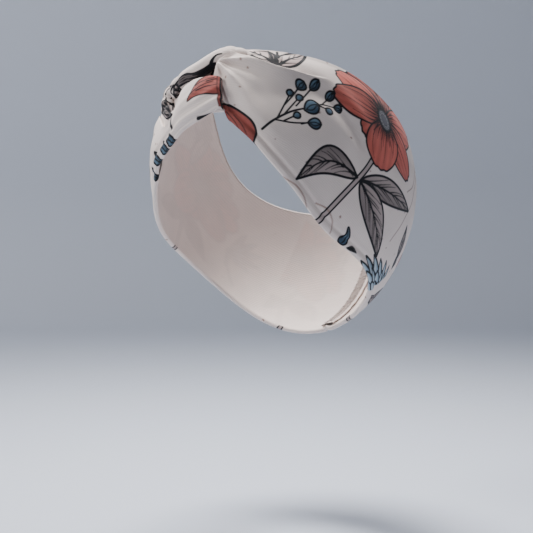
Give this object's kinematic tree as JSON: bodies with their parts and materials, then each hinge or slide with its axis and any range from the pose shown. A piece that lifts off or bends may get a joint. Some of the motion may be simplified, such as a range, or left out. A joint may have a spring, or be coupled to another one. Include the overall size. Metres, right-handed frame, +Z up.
{
  "type": "knotted headband",
  "caption": "Wide stretch-jersey headband with a twisted knot at the front, worn from the hairline down to the nape.",
  "frame": {"origin": "centre of the head that the band is stretched round", "axes": "+Z up, -Y the way the wearer faces, +X towards the wearer's left"},
  "size_m": [0.1601, 0.1793, 0.1903],
  "materials": {
    "printed_jersey": "matte fine-rib knit, off-white with a terracotta, blue-grey and taupe botanical print",
    "inner_jersey": "matte wrong side of the same knit, unprinted off-white",
    "sewing_thread": "slightly glossy spun polyester"
  },
  "bodies": {
    "root": {"left_outer_panel": "printed_jersey", "left_inner_panel": "inner_jersey", "left_upper_edge_fold": "printed_jersey", "left_lower_edge_seam": "printed_jersey", "left_knot_loop": "printed_jersey", "right_outer_panel": "printed_jersey", "right_inner_panel": "inner_jersey", "right_upper_edge_fold": "printed_jersey", "right_lower_edge_seam": "printed_jersey", "right_knot_loop": "printed_jersey", "back_seam_allowance": "inner_jersey", "back_seam_thread": "sewing_thread"}
  },
  "joints": []
}
